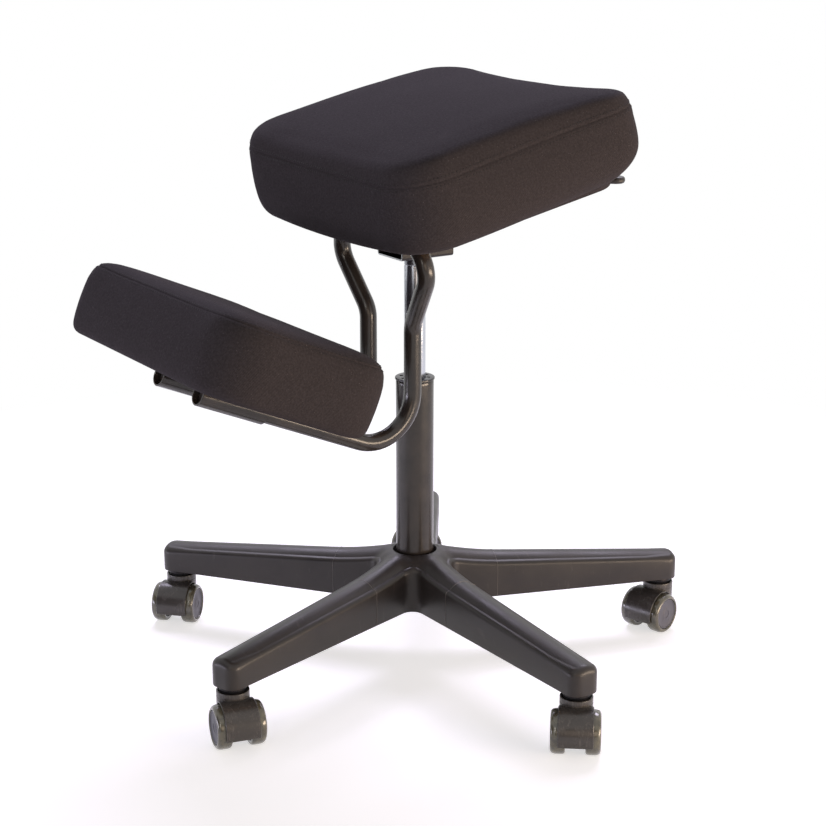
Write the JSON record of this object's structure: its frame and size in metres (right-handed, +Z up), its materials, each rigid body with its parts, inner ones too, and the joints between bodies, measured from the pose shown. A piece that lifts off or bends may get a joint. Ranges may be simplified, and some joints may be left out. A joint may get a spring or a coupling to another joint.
{
  "type": "kneeling chair",
  "caption": "Height-adjustable kneeling chair: tilted seat and sliding knee pad on a bent tube frame, gas lift and star base with twin-wheel castors.",
  "frame": {"origin": "middle of the chair's footprint, on the floor", "axes": "+Z up; the sitter faces -Y, and the sitter's left is +X"},
  "size_m": [0.7294, 0.765, 0.7616],
  "materials": {
    "nylon": "satin",
    "powder_coat": "satin",
    "chrome": "polished",
    "steel": "satin",
    "black_plastic": "satin",
    "grey_plastic": "matte",
    "tread_polyurethane": "gloss",
    "plywood": "matte",
    "fabric": "matte"
  },
  "bodies": {
    "base": {"star_base": "nylon", "column_tube": "powder_coat", "guide_bush": "black_plastic", "castor_stem_1": "steel", "castor_stem_2": "steel", "castor_stem_3": "steel", "castor_stem_4": "steel", "castor_stem_5": "steel"},
    "spindle": {"piston_rod": "steel", "thrust_bearing": "steel", "rod_clip": "steel"},
    "lift": {"pressure_tube": "chrome", "cone_socket": "steel", "mechanism_channel": "powder_coat", "seat_plate": "powder_coat", "frame_tube": "powder_coat", "tube_plug_left": "black_plastic", "tube_plug_right": "black_plastic", "seat_board": "plywood", "seat_cushion": "fabric", "lever_pin": "steel"},
    "lever": {"lever_rod": "steel", "lever_paddle": "black_plastic"},
    "valve": {"valve_button": "steel"},
    "knee_carrier": {"knee_sleeve_left": "powder_coat", "knee_sleeve_right": "powder_coat", "knee_plate": "powder_coat", "knee_board": "plywood", "knee_cushion": "fabric", "clamp_screw": "steel"},
    "castor_1": {"castor_body_1": "black_plastic", "castor_axle_1": "steel"},
    "wheel_1a": {"wheel_core_1a": "grey_plastic", "wheel_tread_1a": "tread_polyurethane"},
    "wheel_1b": {"wheel_core_1b": "grey_plastic", "wheel_tread_1b": "tread_polyurethane"},
    "castor_2": {"castor_body_2": "black_plastic", "castor_axle_2": "steel"},
    "wheel_2a": {"wheel_core_2a": "grey_plastic", "wheel_tread_2a": "tread_polyurethane"},
    "wheel_2b": {"wheel_core_2b": "grey_plastic", "wheel_tread_2b": "tread_polyurethane"},
    "castor_3": {"castor_body_3": "black_plastic", "castor_axle_3": "steel"},
    "wheel_3a": {"wheel_core_3a": "grey_plastic", "wheel_tread_3a": "tread_polyurethane"},
    "wheel_3b": {"wheel_core_3b": "grey_plastic", "wheel_tread_3b": "tread_polyurethane"},
    "castor_4": {"castor_body_4": "black_plastic", "castor_axle_4": "steel"},
    "wheel_4a": {"wheel_core_4a": "grey_plastic", "wheel_tread_4a": "tread_polyurethane"},
    "wheel_4b": {"wheel_core_4b": "grey_plastic", "wheel_tread_4b": "tread_polyurethane"},
    "castor_5": {"castor_body_5": "black_plastic", "castor_axle_5": "steel"},
    "wheel_5a": {"wheel_core_5a": "grey_plastic", "wheel_tread_5a": "tread_polyurethane"},
    "wheel_5b": {"wheel_core_5b": "grey_plastic", "wheel_tread_5b": "tread_polyurethane"}
  },
  "joints": [
    {"name": "seat_swivel", "type": "hinge", "parent": "base", "child": "spindle", "pos_m": [-0.04423, 0.02016, 0.09], "axis": [0, 0, 1], "continuous": true},
    {"name": "gas_lift", "type": "slide", "parent": "spindle", "child": "lift", "axis": [0, 0, 1], "range_m": [-0.12, 0]},
    {"name": "lever_pull", "type": "hinge", "parent": "lift", "child": "lever", "pos_m": [-0.04423, 0.04716, 0.5933], "axis": [1, 0, 0], "range_deg": [0, 3.6], "stiffness_Nm_per_rad": 3, "springref_deg": -5.73},
    {"name": "valve_press", "type": "slide", "parent": "lift", "child": "valve", "axis": [0, 0, 1], "range_m": [-0.0018, 0]},
    {"name": "knee_pad_slide", "type": "slide", "parent": "lift", "child": "knee_carrier", "axis": [0, -0.9205, 0.3907], "range_m": [-0.05, 0.04]},
    {"name": "castor_swivel_1", "type": "hinge", "parent": "base", "child": "castor_1", "pos_m": [0.31075, 0.0245, 0.066], "axis": [0, 0, 1], "continuous": true},
    {"name": "wheel_spin_1a", "type": "hinge", "parent": "castor_1", "child": "wheel_1a", "pos_m": [0.33966, 0.02896, 0.02765], "axis": [0.617, 0.7869, 0], "continuous": true},
    {"name": "wheel_spin_1b", "type": "hinge", "parent": "castor_1", "child": "wheel_1b", "pos_m": [0.31331, -0.00464, 0.02765], "axis": [0.617, 0.7869, 0], "continuous": true},
    {"name": "castor_swivel_2", "type": "hinge", "parent": "base", "child": "castor_2", "pos_m": [0.06134, 0.3591, 0.066], "axis": [0, 0, 1], "continuous": true},
    {"name": "wheel_spin_2a", "type": "hinge", "parent": "castor_2", "child": "wheel_2a", "pos_m": [0.08756, 0.34613, 0.02765], "axis": [0.9573, 0.289, 0], "continuous": true},
    {"name": "wheel_spin_2b", "type": "hinge", "parent": "castor_2", "child": "wheel_2b", "pos_m": [0.04668, 0.33378, 0.02765], "axis": [0.9573, 0.289, 0], "continuous": true},
    {"name": "castor_swivel_3", "type": "hinge", "parent": "base", "child": "castor_3", "pos_m": [-0.33395, 0.2253, 0.066], "axis": [0, 0, 1], "continuous": true},
    {"name": "wheel_spin_3a", "type": "hinge", "parent": "castor_3", "child": "wheel_3a", "pos_m": [-0.30808, 0.21164, 0.02765], "axis": [0.9646, 0.2639, 0], "continuous": true},
    {"name": "wheel_spin_3b", "type": "hinge", "parent": "castor_3", "child": "wheel_3b", "pos_m": [-0.34927, 0.20038, 0.02765], "axis": [0.9646, 0.2639, 0], "continuous": true},
    {"name": "castor_swivel_4", "type": "hinge", "parent": "base", "child": "castor_4", "pos_m": [-0.32886, -0.19199, 0.066], "axis": [0, 0, 1], "continuous": true},
    {"name": "wheel_spin_4a", "type": "hinge", "parent": "castor_4", "child": "wheel_4a", "pos_m": [-0.29962, -0.19109, 0.02765], "axis": [0.7083, 0.7059, 0], "continuous": true},
    {"name": "wheel_spin_4b", "type": "hinge", "parent": "castor_4", "child": "wheel_4b", "pos_m": [-0.32986, -0.22123, 0.02765], "axis": [0.7083, 0.7059, 0], "continuous": true},
    {"name": "castor_swivel_5", "type": "hinge", "parent": "base", "child": "castor_5", "pos_m": [0.06959, -0.3161, 0.066], "axis": [0, 0, 1], "continuous": true},
    {"name": "wheel_spin_5a", "type": "hinge", "parent": "castor_5", "child": "wheel_5a", "pos_m": [0.0938, -0.29967, 0.02765], "axis": [0.2198, 0.9755, 0], "continuous": true},
    {"name": "wheel_spin_5b", "type": "hinge", "parent": "castor_5", "child": "wheel_5b", "pos_m": [0.08441, -0.34132, 0.02765], "axis": [0.2198, 0.9755, 0], "continuous": true}
  ],
  "couplings": [
    {"joint": "valve_press", "follows": "lever_pull", "m_per_rad": -0.027}
  ]
}
